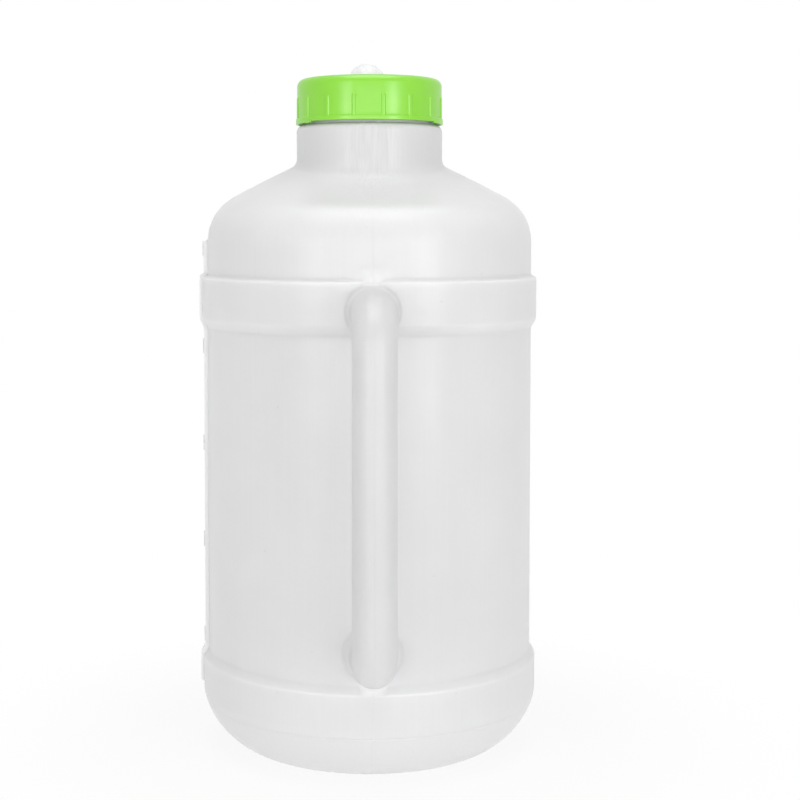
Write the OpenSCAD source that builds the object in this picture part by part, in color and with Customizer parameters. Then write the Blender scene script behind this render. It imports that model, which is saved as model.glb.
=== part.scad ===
// Oil jug: a blow-moulded jug with a hollow handle and a closed pouring spout in one piece,
// a wide neck with a coarse screw thread, a ribbed screw cap and a foam seal inside the cap.
// Millimetres, +Z up. The origin is the centre of the base, on the jug's axis.
// The handle is on -Y, the spout on +Y and the gauge strip on -X.

/* [Body] */
// Outside diameter of the plain wall
body_d = 182.4; // [178:0.2:184]
// How far the two hoop bands stand out of the wall
band_proud = 3; // [2:0.1:3.4]
// Thickness of the blown wall
wall = 1.8; // [1.4:0.1:2]
// How far the round of the base reaches in from the lower band
base_in = 28.1; // [26:0.1:30]
// Height of the round of the base
base_h = 31.9; // [30:0.1:34]
// Height of the recessed middle of the base
push_up = 5; // [3:0.5:7]
// Upper edge of the lower band
low_band_top_z = 50; // [46:0.5:54]
// Lower edge of the upper band
high_band_z = 235; // [232:0.5:238]
// Upper edge of the upper band
high_band_top_z = 263.9; // [262:0.1:266]
// Height at which the wall turns in to the shoulder
shoulder_z = 283; // [281:0.5:285]
// Radius of the shoulder's round
shoulder_round = 32; // [30:1:33]
// Turn of the shoulder's round before the dome starts, in degrees
shoulder_turn = 58; // [57:0.5:59]
// Radius of the shallow dome between the shoulder and the neck
dome_r = 265; // [250:5:280]

/* [Neck] */
// Outside diameter of the neck
neck_d = 82; // [80:0.5:82.5]
// Height of the ledge under the cap
ledge_z = 348.6; // [347.5:0.1:349]
// Outside diameter of the finish that carries the thread
finish_d = 73.2; // [73:0.1:73.4]
// Bore of the mouth
mouth_d = 69; // [68:0.5:69.5]
// Height of the lip
lip_z = 370.5; // [370:0.1:370.7]
// Rise of the thread in one turn
pitch = 6; // [5.8:0.1:6.2]

/* [Handle] */
// Diameter of the handle tube
grip_d = 23; // [22:0.5:24]
// Distance of the grip's centre line from the jug's axis
grip_y = 130; // [128:1:134]
// Height of the upper arm's centre line
upper_arm_z = 248.5; // [246:0.5:250]
// Height of the lower arm's centre line
lower_arm_z = 71.5; // [71:0.5:74]
// Centre line radius of the two elbows
elbow_r = 17; // [15:1:18]
// Diameter of an arm where it meets the wall
root_d = 29; // [27:0.5:30]

/* [Spout] */
// Radius of the spout's closed round tip
tip_r = 11.8; // [11:0.1:12.5]
// Distance of the tip's centre from the jug's axis
tip_y = 84; // [82:1:88]
// Height of the tip's centre
tip_z = 380.1; // [378:0.1:382]
// Distance of the spout's foot from the jug's axis
foot_y = 64; // [62:1:66]
// Height of the spout's foot
foot_z = 314; // [312:0.5:315]
// Radius of the spout at its foot
foot_r = 19; // [17:0.5:20]

/* [Gauge strip] */
// Width of the strip, measured round the wall
strip_w = 16; // [12:1:20]
// How far the strip stands out of the wall
strip_proud = 2.3; // [1.8:0.1:2.5]
// How far the strip stands out of the bands
strip_proud_band = 1.7; // [1.2:0.1:1.8]
// Height of the lowest graduation
first_mark_z = 60.5; // [58:0.5:62]
// Height from one graduation to the next
mark_step = 27.4; // [27:0.1:27.6]

/* [Cap] */
// Underside of the cap's skirt
cap_z = 349.9; // [349.6:0.1:350.1]
// Top of the cap
cap_top_z = 374.5; // [374.3:0.1:375]
// Outside diameter of the cap's skirt
cap_d = 81.4; // [81:0.1:81.8]
// Thickness of the cap's skirt
cap_wall = 1.8; // [1.7:0.05:1.9]
// Radius of the cap's top edge
cap_round = 4; // [3:0.5:4.5]
// Number of grip ribs on the cap
ribs = 16; // [12:1:20]
// Thickness of the foam seal
seal_t = 1.8; // [1.6:0.1:2]

/* [Hidden] */
$fn = 96;

body_r = body_d / 2;
band_r = body_r + band_proud;
neck_r = neck_d / 2;
finish_r = finish_d / 2;
mouth_r = mouth_d / 2;
grip_r = grip_d / 2;
root_r = root_d / 2;
root_fillet = 2.5;
cap_r = cap_d / 2;
cap_in_r = cap_r - cap_wall;

// Base: a recessed middle, a flat foot ring, and a round that runs up into the lower band.
push_up_r = 32;
foot_ring_in = 52;
// Power of the round's curve: at 1 it is a quarter of an ellipse, above 1 it is flatter.
base_power = 1.24;
base_steps = 12;

// Hoop bands.
band_chamfer = 4.5;
band_edge = 0.9;

// Shoulder: a round, a shallow dome that goes on from it, and a fillet that touches dome and neck.
neck_fillet = 5;
shoulder_c = [body_r - shoulder_round, shoulder_z];
dome_c = shoulder_c + (shoulder_round - dome_r) * [cos(shoulder_turn), sin(shoulder_turn)];
fillet_x = neck_r + neck_fillet;
dome_stop = acos((fillet_x - dome_c[0]) / (dome_r + neck_fillet));
fillet_c = [fillet_x, dome_c[1] + (dome_r + neck_fillet) * sin(dome_stop)];

// Neck ledge and lip.
ledge_round = 3.5;
ledge_c = [neck_r - ledge_round, ledge_z - ledge_round];
lip_chamfer = 0.6;

// Thread: both ridges rise with one pitch, and the cap's ridge bears up against the neck's from below.
thread_steps = 30;
ridge_fade = 3;
ridge_sink = 0.6;
ridge_h = 1.7;
neck_base_w = 3;
neck_crest_w = 1.2;
cap_base_w = 2.7;
cap_crest_w = 1;
neck_thread_z = 354.2;
neck_turns = 1.9;
cap_turns = 1.5;
// Height from the cap's ridge up to the neck's: half of each ridge's mean width, and the play between them.
ridge_drop = (neck_base_w + neck_crest_w + cap_base_w + cap_crest_w) / 4 + 0.15;

// Cap: bead round the skirt's edge, grip ribs and two stops under the edge.
bead_proud = 0.7;
bead_h = 2.6;
rib_w = 2.2;
rib_proud = 0.75;
rib_top_z = 363.8;
rib_turn = 9.55;
stop_drop = 0.8;
stop_in_r = 40;
stop_span = 67;
stop_turn = 2.95;
seal_r = cap_in_r - 0.6;

// Spout: its lean and length follow from its foot and its tip.
spout_lean = atan2(tip_y - foot_y, tip_z - foot_z);
spout_run = norm([tip_y - foot_y, tip_z - foot_z]);
spout_flare = 7;
spout_sink = 5;

// Gauge strip: long marks at the main graduations, short ones between, all from mark_start off its middle.
mark_count = 9;
mark_h = 1.6;
mark_proud = 0.7;
mark_start = 7;
long_mark = 6.4;
short_mark = 3.8;
strip_foot_z = 34.6;
strip_top_z = 284.2;

// Points of an arc round c with radius r, from angle a0 to a1 in n steps.
function arc(c, r, a0, a1, n) =
    [for (i = [0:n]) let (a = a0 + (a1 - a0) * i / n) c + r * [cos(a), sin(a)]];

// One hoop band, moved in by t: its foot, its full width up to high, and its fall back to the wall.
function band(foot, low, high, fall, t) = [
    [body_r - t, foot], [band_r - t, low], [band_r - t, high - band_edge],
    [band_r - t - band_edge, high], [body_r - t, high + fall]];

// The round of the base, from the foot ring up into the lower band, moved in by t.
function base_curve(t) = [
    for (i = [0:base_steps]) let (a = 90 * i / base_steps) [
        band_r - base_in + (base_in - t) * pow(sin(a), base_power),
        base_h - (base_h - t) * pow(cos(a), base_power)]];

// The jug from the base's middle up to the neck's ledge, moved in by t.
function jug_outline(t) = concat(
    [[0, push_up + t], [push_up_r, push_up + t], [foot_ring_in, t]],
    base_curve(t),
    [[band_r - t, low_band_top_z - 0.4 * t],
        [body_r - t, low_band_top_z + band_chamfer - 0.4 * t]],
    band(high_band_z + 0.4 * t, high_band_z + band_chamfer + 0.4 * t, high_band_top_z - t, 0.3, t),
    arc(shoulder_c, shoulder_round - t, 0, shoulder_turn, 10),
    arc(dome_c, dome_r - t, shoulder_turn + 1.5, dome_stop, 4),
    arc(fillet_c, neck_fillet + t, dome_stop + 180, 180, 5),
    arc(ledge_c, ledge_round - t, 0, 90, 5));

// The outside of the finish, from the ledge to the axis.
finish_outline = [
    [finish_r, ledge_z], [finish_r, lip_z - lip_chamfer], [finish_r - lip_chamfer, lip_z], [0, lip_z]];

// The bore of the mouth, from under the ledge out through the lip.
bore_outline = [
    [mouth_r, ledge_z - wall], [mouth_r, lip_z - lip_chamfer], [mouth_r + lip_chamfer, lip_z],
    [mouth_r + lip_chamfer, lip_z + 1], [0, lip_z + 1]];

// One quarter turn of the handle tube, from straight down to straight out along -Y.
module elbow(r) {
    rotate([0, 90, 180]) rotate_extrude(angle = 90) translate([elbow_r, 0]) circle(r = r);
}

// An arm of the handle from the wall at radius wall_r out to its elbow: a cone with a fillet at the wall.
module arm(wall_r, z, t) {
    run = grip_y - elbow_r - wall_r;
    translate([0, -wall_r, z]) rotate([90, 0, 0]) rotate_extrude() polygon(concat(
        [[0, -8], [root_r + root_fillet, -8]],
        arc([root_r + root_fillet, root_fillet - 1], root_fillet + t, -90, -180, 5),
        [[grip_r - t, run], [0, run]]));
}

// The handle, moved in by t: two arms, two elbows and the grip.
module handle_form(t) {
    r = grip_r - t;
    arm(body_r, lower_arm_z, t);
    arm(band_r, upper_arm_z, t);
    translate([0, elbow_r - grip_y, lower_arm_z + elbow_r]) elbow(r);
    translate([0, elbow_r - grip_y, upper_arm_z - elbow_r]) mirror([0, 0, 1]) elbow(r);
    translate([0, -grip_y, lower_arm_z + elbow_r])
        cylinder(r = r, h = upper_arm_z - lower_arm_z - 2 * elbow_r);
}

// The spout, moved in by t: a flare at its foot, a slim cone and a round closed tip.
module spout_form(t) {
    translate([0, foot_y, foot_z]) rotate([-spout_lean, 0, 0]) rotate_extrude() polygon(concat(
        [[0, -12], [foot_r + spout_flare, -12]],
        arc([foot_r + spout_flare, spout_flare - spout_sink], spout_flare + t, -90, -180, 6),
        arc([0, spout_run], tip_r - t, 3, 90, 9)));
}

// The gauge strip: it follows the wall and steps over both bands.
module gauge_strip() {
    wall_x = body_r + strip_proud;
    band_x = band_r + strip_proud_band;
    span = strip_w / body_r * 180 / PI;
    rotate([0, 0, 180 - span / 2]) rotate_extrude(angle = span) polygon([
        [body_r - 1, strip_foot_z], [band_x - 0.6, strip_foot_z], [band_x, strip_foot_z + 0.6],
        [band_x, low_band_top_z + 0.5], [wall_x, low_band_top_z + band_chamfer + 0.5],
        [wall_x, high_band_z - 0.5], [band_x, high_band_z + band_chamfer - 0.5],
        [band_x, high_band_top_z], [band_x - band_edge, high_band_top_z + 1.2],
        [wall_x, high_band_top_z + 1.6], [wall_x, strip_top_z - 1], [wall_x - 1, strip_top_z],
        [body_r - 1, strip_top_z]]);
}

// The graduation marks on the strip.
module gauge_marks() {
    for (i = [0:mark_count - 1]) {
        z = first_mark_z + i * mark_step;
        on_band = z > high_band_z && z < high_band_top_z;
        foot_x = on_band ? band_r + strip_proud_band : body_r + strip_proud;
        span = (i % 2 == 0 ? long_mark : short_mark) / body_r * 180 / PI;
        rotate([0, 0, 180 - mark_start / body_r * 180 / PI]) rotate_extrude(angle = span)
            translate([foot_x - 0.5, z - mark_h / 2]) square([0.5 + mark_proud, mark_h]);
    }
}

// A helical ridge on a wall of radius r. side is 1 for an outside thread and -1 for an inside one.
module ridge(r, side, z0, turns, base_w, crest_w) {
    n = round(turns * thread_steps);
    points = [for (i = [0:n])
        let (a = 360 * i / thread_steps, z = z0 + pitch * i / thread_steps,
            share = max(0.05, min(1, i / ridge_fade, (n - i) / ridge_fade)),
            top = r + side * ridge_h * share, root = r - side * ridge_sink,
            crest = (base_w + (crest_w - base_w) * share) / 2)
        for (p = [[root, -base_w / 2], [top, -crest], [top, crest], [root, base_w / 2]])
            [p[0] * cos(a), p[0] * sin(a), z + p[1]]];
    sides = [for (i = [0:n - 1]) for (j = [0:3])
        let (a = 4 * i + j, b = 4 * i + (j + 1) % 4)
        for (f = [[a, b, b + 4], [a, b + 4, a + 4]]) f];
    ends = [[0, 3, 2], [0, 2, 1], [4 * n, 4 * n + 1, 4 * n + 2], [4 * n, 4 * n + 2, 4 * n + 3]];
    faces = [for (f = concat(sides, ends)) side > 0 ? f : [f[2], f[1], f[0]]];
    polyhedron(points, faces, convexity = 8);
}

module jug_body() {
    color("whitesmoke") difference() {
        union() {
            rotate_extrude() polygon(concat(jug_outline(0), finish_outline));
            handle_form(0);
            spout_form(0);
            gauge_strip();
            gauge_marks();
            ridge(finish_r, 1, neck_thread_z, neck_turns, neck_base_w, neck_crest_w);
        }
        rotate_extrude() polygon(concat(jug_outline(wall), bore_outline));
        handle_form(wall);
        spout_form(wall);
    }
}

module screw_cap() {
    bead_r = cap_r + bead_proud;
    inner_top_z = lip_z + seal_t;
    color("yellowgreen") {
        difference() {
            rotate_extrude() polygon(concat(
                [[0, cap_z], [bead_r - 0.4, cap_z], [bead_r, cap_z + 0.4],
                    [bead_r, cap_z + bead_h - 0.5], [cap_r, cap_z + bead_h]],
                arc([cap_r - cap_round, cap_top_z - cap_round], cap_round, 0, 90, 7),
                [[0, cap_top_z]]));
            translate([0, 0, cap_z - 1]) cylinder(r = cap_in_r, h = inner_top_z - cap_z + 1);
        }
        for (i = [0:ribs - 1])
            rotate([0, 0, rib_turn + 360 * i / ribs]) rotate([90, 0, 0])
                linear_extrude(rib_w, center = true) polygon([
                    [cap_r - 0.6, cap_z + 1], [bead_r - 0.2, cap_z + 1], [cap_r + rib_proud, cap_z + bead_h],
                    [cap_r + rib_proud, rib_top_z - 1], [cap_r - 0.6, rib_top_z + 1]]);
        for (turn = [0, 180])
            rotate([0, 0, stop_turn + turn - stop_span / 2]) rotate_extrude(angle = stop_span)
                translate([stop_in_r, cap_z - stop_drop]) square([bead_r - 0.3 - stop_in_r, stop_drop + 0.5]);
        ridge(cap_in_r, -1, neck_thread_z - ridge_drop, cap_turns, cap_base_w, cap_crest_w);
    }
}

module cap_seal() {
    color("white") translate([0, 0, lip_z]) cylinder(r = seal_r, h = seal_t);
}

jug_body();
screw_cap();
cap_seal();
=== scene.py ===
"""Looks of the oil jug: a blown HDPE jug with a hollow handle and a closed spout, its gauge relief,
a ribbed green screw cap and the foam seal inside it. Lengths are millimetres until a mesh is made."""

import math

import bmesh
import bpy
import numpy as np
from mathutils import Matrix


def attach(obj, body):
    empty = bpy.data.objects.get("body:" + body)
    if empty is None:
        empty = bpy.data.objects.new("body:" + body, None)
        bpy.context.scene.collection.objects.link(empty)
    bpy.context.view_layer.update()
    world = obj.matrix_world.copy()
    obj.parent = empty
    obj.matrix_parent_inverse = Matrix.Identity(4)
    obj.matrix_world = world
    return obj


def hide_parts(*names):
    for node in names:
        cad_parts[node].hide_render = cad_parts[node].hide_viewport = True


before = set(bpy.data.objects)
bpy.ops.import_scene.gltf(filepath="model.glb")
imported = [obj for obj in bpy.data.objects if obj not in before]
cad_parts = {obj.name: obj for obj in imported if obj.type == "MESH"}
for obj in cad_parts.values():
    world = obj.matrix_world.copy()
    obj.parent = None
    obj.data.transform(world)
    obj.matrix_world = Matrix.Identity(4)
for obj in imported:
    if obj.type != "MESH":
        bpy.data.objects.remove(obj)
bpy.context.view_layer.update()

MM = 0.001
RIGHT_ANGLE = math.pi / 2

# Jug, as in the part's source.
BODY_R = 91.2
BAND_R = 94.2
WALL = 1.8
BASE_IN, BASE_H, BASE_POWER = 28.1, 31.9, 1.24
SHOULDER_Z = 283.0
SHOULDER_ROUND = 32.0
SHOULDER_TURN = 58.0
DOME_R = 265.0
NECK_R = 41.0
NECK_FILLET = 5.0
LEDGE_Z = 348.6
LEDGE_ROUND = 3.5
FINISH_R = 36.6
MOUTH_R = 34.5
LIP_Z = 370.5
# Only here, and not in the source: the height of the fine groove round the base, and the dome's fall
# towards the handle: its depth, where it lies on the dome, and where it ends on the neck.
GROOVE_Z = 26.7
FALL = 11.0
FALL_IN_R, FALL_OUT_R = 46.0, 90.0
FALL_FOOT_Z, FALL_TOP_Z = 325.0, 346.0

# Handle, spout and gauge strip.
GRIP_R = 11.3
GRIP_Y = 130.0
ELBOW_R = 17.0
# Each arm's root: its radius, the radius of its hole in the wall, and how far out the fillet reaches.
ROOT_R = 13.4
UPPER_HOLE_R, LOWER_HOLE_R = 15.3, 16.8
UPPER_CLEAR, LOWER_CLEAR = 1.8, 4.5
UPPER_HOLE, LOWER_HOLE = (234.3, 263.2), (56.6, 86.4)
UPPER_Z = 248.5
LOWER_Z = 71.5
FOOT_Y, FOOT_Z = 64.0, 314.0
TIP_Y, TIP_Z, TIP_R = 84.0, 380.1, 11.8
FOOT_R = 19.0
# The spout's hole in the dome: the radii it reaches from and to, its half-width, how much of its height its
# sides take, and half the angle that the grid's columns through it span far from it.
SPOUT_HOLE_REACH = 44.5, 87.5
SPOUT_HOLE_R = 22.5
SPOUT_HOLE_SIDE = 0.86
SPOUT_HALF = 21.0
STRIP_HALF = 8.0
# The parting line's ridge stays within the source's tubes.
SEAM_ROOM = 0.15
FIRST_MARK_Z = 60.5
MARK_STEP = 27.4
MARK_COUNT = 9

# Cap and seal.
CAP_Z, CAP_TOP_Z = 349.9, 374.5
CAP_R, CAP_IN_R = 40.7, 38.9
BEAD_R = 41.4
RIBS = 16
RIB_TURN = 9.55
RIB_TOP_Z = 363.8
STOP_TURN, STOP_SPAN, STOP_DROP = 2.95, 67.0, 0.8
SEAL_R, SEAL_T = 38.3, 1.8
THREAD_PITCH = 6.0
THREAD_Z = 354.2
# Each thread's ridge: its width at the wall and at its crest.
NECK_RIDGE, CAP_RIDGE = (3.0, 1.2), (2.7, 1.0)
THREAD_PLAY = 0.15

# Where things are round the jug, in degrees.
SPOUT_AT, STRIP_AT, HANDLE_AT = 90.0, 180.0, 270.0


def smooth(t):
    """0 below 0, 1 above 1, and an even S between: 3t^2 - 2t^3."""
    t = np.clip(t, 0.0, 1.0)
    return t * t * (3.0 - 2.0 * t)


def arc(cr, cz, radius, start, end, steps):
    """Corners (r, z, cut, steps after) of an arc round (cr, cz) from angle start to end, in degrees."""
    a = np.radians(np.linspace(start, end, steps + 1))
    return [(cr + radius * math.cos(v), cz + radius * math.sin(v), 0.0, 1) for v in a]


def rounded_line(corners, round_steps=5):
    """A line through corners (r, z, cut, steps): each corner becomes the parabola that touches both legs
    at the distance cut from it, and the run from there to the next corner has that many steps."""
    spots = np.array([c[:2] for c in corners], float)
    rows = []
    for i, (_, _, cut, steps) in enumerate(corners):
        here = spots[i]
        if cut and 0 < i < len(corners) - 1:
            back, ahead = spots[i - 1] - here, spots[i + 1] - here
            p = here + back / np.linalg.norm(back) * cut
            q = here + ahead / np.linalg.norm(ahead) * cut
            t = np.linspace(0.0, 1.0, round_steps + 1)[:, None]
            rows.append((1 - t) ** 2 * p + 2 * t * (1 - t) * here + t ** 2 * q)
        else:
            rows.append(here[None])
        if i < len(corners) - 1 and steps > 1:
            nxt, cut_next = spots[i + 1], corners[i + 1][2] if i + 1 < len(corners) - 1 else 0.0
            leg = here - nxt
            end = nxt + leg / np.linalg.norm(leg) * cut_next
            start = rows[-1][-1]
            rows.append(start + (end - start) * (np.arange(1, steps) / steps)[:, None])
    return np.vstack(rows)


def filled(marks, step):
    """The fixed angles of marks, with even ones between where a gap is wider than step."""
    marks = sorted(marks)
    return np.concatenate([np.linspace(a, b, max(1, math.ceil((b - a) / step)), endpoint=False)
                           for a, b in zip(marks, marks[1:])])


def grid_faces(rows, columns, closed=True, skip=()):
    """Quads of a grid of rows by columns, closed round the columns; skip lists blocks left open,
    as (first row, last row, first column, last column)."""
    i, j = np.meshgrid(np.arange(rows - 1), np.arange(columns if closed else columns - 1), indexing="ij")
    keep = np.ones(i.shape, bool)
    for i0, i1, j0, j1 in skip:
        keep[i0:i1, j0:j1] = False
    k = (j + 1) % columns
    quads = np.stack([i * columns + j, i * columns + k, (i + 1) * columns + k, (i + 1) * columns + j], -1)
    return quads[keep]


def make_mesh(name, parts):
    """One object from parts (points in mm, faces), with doubles merged and faces turned outwards."""
    points, faces, start = [], [], 0
    for part_points, part_faces in parts:
        part_points = np.asarray(part_points, float).reshape(-1, 3)
        points.append(part_points)
        faces += [[v + start for v in face] for face in
                  (part_faces.tolist() if isinstance(part_faces, np.ndarray) else part_faces)]
        start += len(part_points)
    mesh = bpy.data.meshes.new(name)
    mesh.from_pydata((np.vstack(points) * MM).tolist(), [], faces)
    work = bmesh.new()
    work.from_mesh(mesh)
    bmesh.ops.remove_doubles(work, verts=work.verts, dist=2e-6)
    bmesh.ops.dissolve_degenerate(work, edges=work.edges, dist=1e-7)
    bmesh.ops.recalc_face_normals(work, faces=work.faces)
    work.to_mesh(mesh)
    work.free()
    mesh.shade_smooth()
    mesh.set_sharp_from_angle(angle=math.radians(42))
    piece = bpy.data.objects.new(name, mesh)
    bpy.context.scene.collection.objects.link(piece)
    return piece


# Jug

def base_curve(t, turns):
    """Corners of the base's round, moved in by t: a flattened quarter ellipse, at the given turns of it in
    degrees, 0 at the foot ring and 90 where it runs into the lower band."""
    a = np.radians(turns)
    r = BAND_R - BASE_IN + (BASE_IN - t) * np.sin(a) ** BASE_POWER
    z = BASE_H - (BASE_H - t) * np.abs(np.cos(a)) ** BASE_POWER
    return [(rr, zz, 0.0, 1) for rr, zz in zip(r, z)]


def outer_rows(side_steps):
    """Outside of the jug, from the middle of the base to the lip: recessed middle, foot ring, round, two
    hoop bands, wall, shoulder, shallow dome, neck, ledge and finish. side_steps is how many rows the lower
    arm's hole has; None gives the upper arm's own rows alone."""
    upper = [(BODY_R, 232.6, 0, 1), (BODY_R, 235.6, 1.0, 1), (BAND_R, 240.6, 1.3, 12),
             (BAND_R, 263.6, 0.9, 2), (BODY_R, 265.0, 1.2, 1), (BODY_R, 266.4, 0, 1)]
    if side_steps is None:
        return rounded_line(upper)
    dome_turn = math.radians(SHOULDER_TURN)
    shoulder_r = BODY_R - SHOULDER_ROUND
    dome_cr = shoulder_r + (SHOULDER_ROUND - DOME_R) * math.cos(dome_turn)
    dome_cz = SHOULDER_Z + (SHOULDER_ROUND - DOME_R) * math.sin(dome_turn)
    fillet_r = NECK_R + NECK_FILLET
    dome_end = math.degrees(math.acos((fillet_r - dome_cr) / (DOME_R + NECK_FILLET)))
    fillet_z = dome_cz + (DOME_R + NECK_FILLET) * math.sin(math.radians(dome_end))
    corners = [(0, 5, 0, 7), (32, 5, 5, 5), (52, 0, 4, 2)]
    at_groove = (BASE_H - GROOVE_Z - np.array([-0.9, -0.45, -0.2, 0, 0.2, 0.45, 0.9])) / BASE_H
    turns = np.degrees(np.arccos(at_groove ** (1 / BASE_POWER)))
    corners += base_curve(0, np.concatenate([np.linspace(0, 72, 17), turns, [82, 86, 90]]))
    corners += [(BAND_R, 34.2, 0, 1), (BAND_R, 34.5, 0, 1), (BAND_R, 34.9, 0, 1),
                (BAND_R, 35.4, 0, 4), (BAND_R, 50, 1.0, 1), (BODY_R, 54.5, 1.0, 1),
                (BODY_R, 56.6, 0, side_steps), (BODY_R, 86.4, 0, 36)]
    corners += upper
    corners += [(BODY_R, 267.0, 0, 8), (BODY_R, 282.6, 0, 1)]
    corners += arc(shoulder_r, SHOULDER_Z, SHOULDER_ROUND, 1, SHOULDER_TURN, 20)
    corners += arc(dome_cr, dome_cz, DOME_R, SHOULDER_TURN + 0.5, dome_end, 14)
    corners += arc(fillet_r, fillet_z, NECK_FILLET, dome_end + 180, 180, 7)
    corners += [(NECK_R, fillet_z + 1, 0, 9)]
    corners += arc(NECK_R - LEDGE_ROUND, LEDGE_Z - LEDGE_ROUND, LEDGE_ROUND, 0, 90, 7)
    corners += [(FINISH_R, LEDGE_Z, 0.4, 8), (FINISH_R, LIP_Z, 0.8, 1)]
    return rounded_line(corners + [(MOUTH_R + 1.0, LIP_Z, 0, 1)])


def inner_rows(side_steps):
    """Inside of the jug, from the lip down to the middle of the base: the outside moved in by the wall.
    side_steps is as for the outside."""
    body, band = BODY_R - WALL, BAND_R - WALL
    upper = [(body, 232.6, 0, 1), (body, 236.3, 1.5, 1), (band, 241.3, 1.5, 6), (band, 262.2, 0.8, 1),
             (body, 262.8, 0.5, 1), (body, 264.9, 0, 1)]
    if side_steps is None:
        return rounded_line(upper)
    dome_turn = math.radians(SHOULDER_TURN)
    shoulder_r = BODY_R - SHOULDER_ROUND
    dome_cr = shoulder_r + (SHOULDER_ROUND - DOME_R) * math.cos(dome_turn)
    dome_cz = SHOULDER_Z + (SHOULDER_ROUND - DOME_R) * math.sin(dome_turn)
    fillet_r = NECK_R + NECK_FILLET
    dome_end = math.degrees(math.acos((fillet_r - dome_cr) / (DOME_R + NECK_FILLET)))
    fillet_z = dome_cz + (DOME_R + NECK_FILLET) * math.sin(math.radians(dome_end))
    corners = [(0, 5 + WALL, 0, 5), (32, 5 + WALL, 5, 3), (52, WALL, 4, 2)]
    corners += base_curve(WALL, np.linspace(0, 90, 13))
    corners += [(band, 40, 0, 3), (band, 49.4, 1.5, 1), (body, 53.9, 1.5, 1),
                (body, 56.6, 0, side_steps), (body, 86.4, 0, 18)]
    corners += upper
    corners += [(body, 265.6, 0, 6)]
    corners += arc(shoulder_r, SHOULDER_Z, SHOULDER_ROUND - WALL, 0, SHOULDER_TURN, 11)
    corners += arc(dome_cr, dome_cz, DOME_R - WALL, SHOULDER_TURN + 0.5, dome_end, 9)
    corners += arc(fillet_r, fillet_z, NECK_FILLET + WALL, dome_end + 180, 180, 5)
    corners += [(NECK_R - WALL, fillet_z + 1, 0, 5)]
    corners += arc(NECK_R - LEDGE_ROUND, LEDGE_Z - LEDGE_ROUND, LEDGE_ROUND - WALL, 0, 80, 4)
    corners += [(MOUTH_R, LEDGE_Z - WALL, 0.5, 5)]
    return rounded_line(corners + [(MOUTH_R, LIP_Z - 1.0, 0, 1)])[::-1]


def strip_radius(z):
    """Radius of the gauge strip's face: it follows the wall and steps over both bands."""
    wall, band = BODY_R + 2.3, BAND_R + 1.7
    knots = [(34.3, BAND_R), (34.6, band - 0.7), (35.2, band), (50.4, band), (54.9, wall), (235.2, wall),
             (240.3, band), (264.0, band), (265.2, band - 0.8), (265.7, wall), (283.2, wall),
             (284.0, wall - 0.8), (284.3, BODY_R)]
    heights, radii = zip(*knots)
    return np.interp(z, heights, radii)


def front_fall(r, z, theta):
    """How far the dome and the foot of the neck lie lower towards the handle: FALL in front, about 2.5 mm
    at the sides and nothing at the spout, as FALL ((1 - sin theta) / 2)^2.14. It grows over the dome as the
    parabola t (2 - t), from the shoulder inwards, and fades out evenly up the neck."""
    t = np.clip((FALL_OUT_R - r) / (FALL_OUT_R - FALL_IN_R), 0, 1)
    up_neck = np.clip((FALL_TOP_Z - z) / (FALL_TOP_Z - FALL_FOOT_Z), 0, 1)
    share = t * (2 - t) * up_neck * (z > SHOULDER_Z - 13)
    return FALL * ((1 - np.sin(theta)) / 2) ** 2.14 * share


def seam_height(x, pinch=0.0):
    """The parting line at x = 0: a fine raised ridge, higher where the parison was pinched off, and the
    small step between the two halves of the mould."""
    ridge = (0.08 + 0.75 * pinch) * np.exp(-(x / (0.28 + 0.35 * pinch)) ** 2)
    return ridge - 0.05 * smooth((x + 0.3) / 0.6) * np.exp(-(x / 30.0) ** 2)


def root_swelling(x, z, r, theta):
    """How far the wall swells where an arm's root covers a band's edge. Above each band it fills the step at
    x = 0, and fades out at 10.5 mm to the side and within 10 mm of height, or 8 mm at the lower band."""
    step = BAND_R - BODY_R
    near = (1 - smooth((np.abs(x) - 1.5) / 9.0)) * (np.sin(theta) < 0)
    upper = (z > 263) * (1 - smooth((z - 263.6) / 10.0))
    lower = (z < 70) * (z > 49) * (1 - smooth((z - 51.0) / 8.0))
    return np.clip(BODY_R + step * near * (upper + lower) - r, 0, step) * (r > BODY_R - 0.01)


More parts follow.
